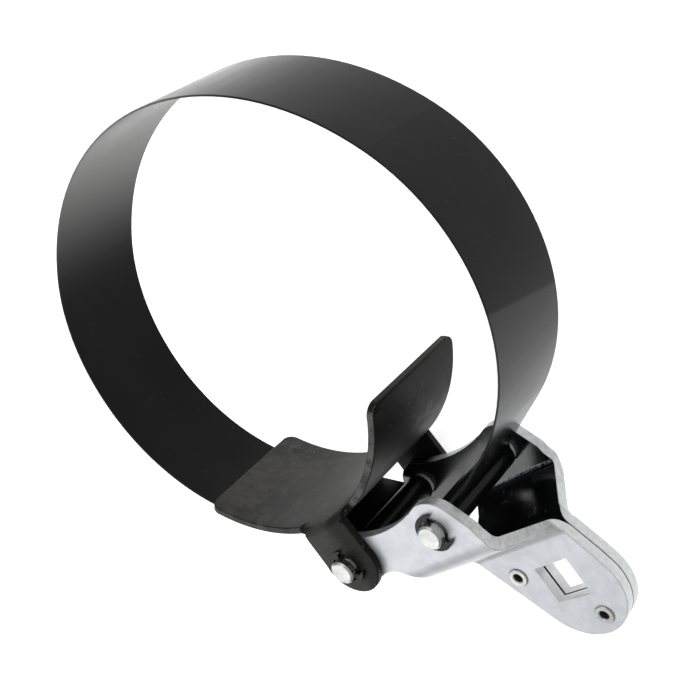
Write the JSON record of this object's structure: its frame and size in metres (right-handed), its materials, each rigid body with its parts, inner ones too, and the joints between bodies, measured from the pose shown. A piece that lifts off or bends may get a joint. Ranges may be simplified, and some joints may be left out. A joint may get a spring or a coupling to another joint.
{
  "type": "oil filter wrench",
  "caption": "Oil filter wrench: a black steel band loop and a curved, pivoting grip shoe on a bent zinc plate lever, turned through a square drive hole.",
  "frame": {"origin": "Centre of the square drive hole, halfway between the two lever plates.", "axes": "+Z along the square drive and the oil filter's axis, +Y from the drive hole towards the filter loop, +X from the shoe pin to the band pin. The wrench lies on its side."},
  "size_m": [0.1712, 0.2099, 0.0618],
  "materials": {
    "zinc": "pale bluish zinc plate with a fine rolled grain and brighter sheared edges",
    "bright_steel": "bright zinc-plated turned steel",
    "black_steel": "black phosphated spring steel",
    "band_black": "satin black spring strip",
    "shoe_grey": "dark grey black-oxide plate, mottled, with worn edges"
  },
  "bodies": {
    "lever": {"front_lever_plate": "zinc", "back_lever_plate": "zinc", "handle_rivets": "bright_steel", "band": "band_black"},
    "shoe_body": {"shoe": "shoe_grey"},
    "shoe_pin_body": {"shoe_pin": "bright_steel", "shoe_pin_clips": "black_steel"},
    "band_pin_body": {"band_pin": "bright_steel", "band_pin_clips": "black_steel"}
  },
  "joints": [
    {"name": "shoe_swing", "type": "hinge", "parent": "lever", "child": "shoe_body", "pos_m": [-0.049, 0.0384, 0], "axis": [0, 0, -1], "range_deg": [0, 22]},
    {"name": "shoe_pin_turn", "type": "hinge", "parent": "lever", "child": "shoe_pin_body", "pos_m": [-0.049, 0.0384, 0], "axis": [0, 0, 1], "continuous": true},
    {"name": "band_pin_turn", "type": "hinge", "parent": "lever", "child": "band_pin_body", "pos_m": [-0.0095, 0.037, 0], "axis": [0, 0, 1], "continuous": true}
  ]
}
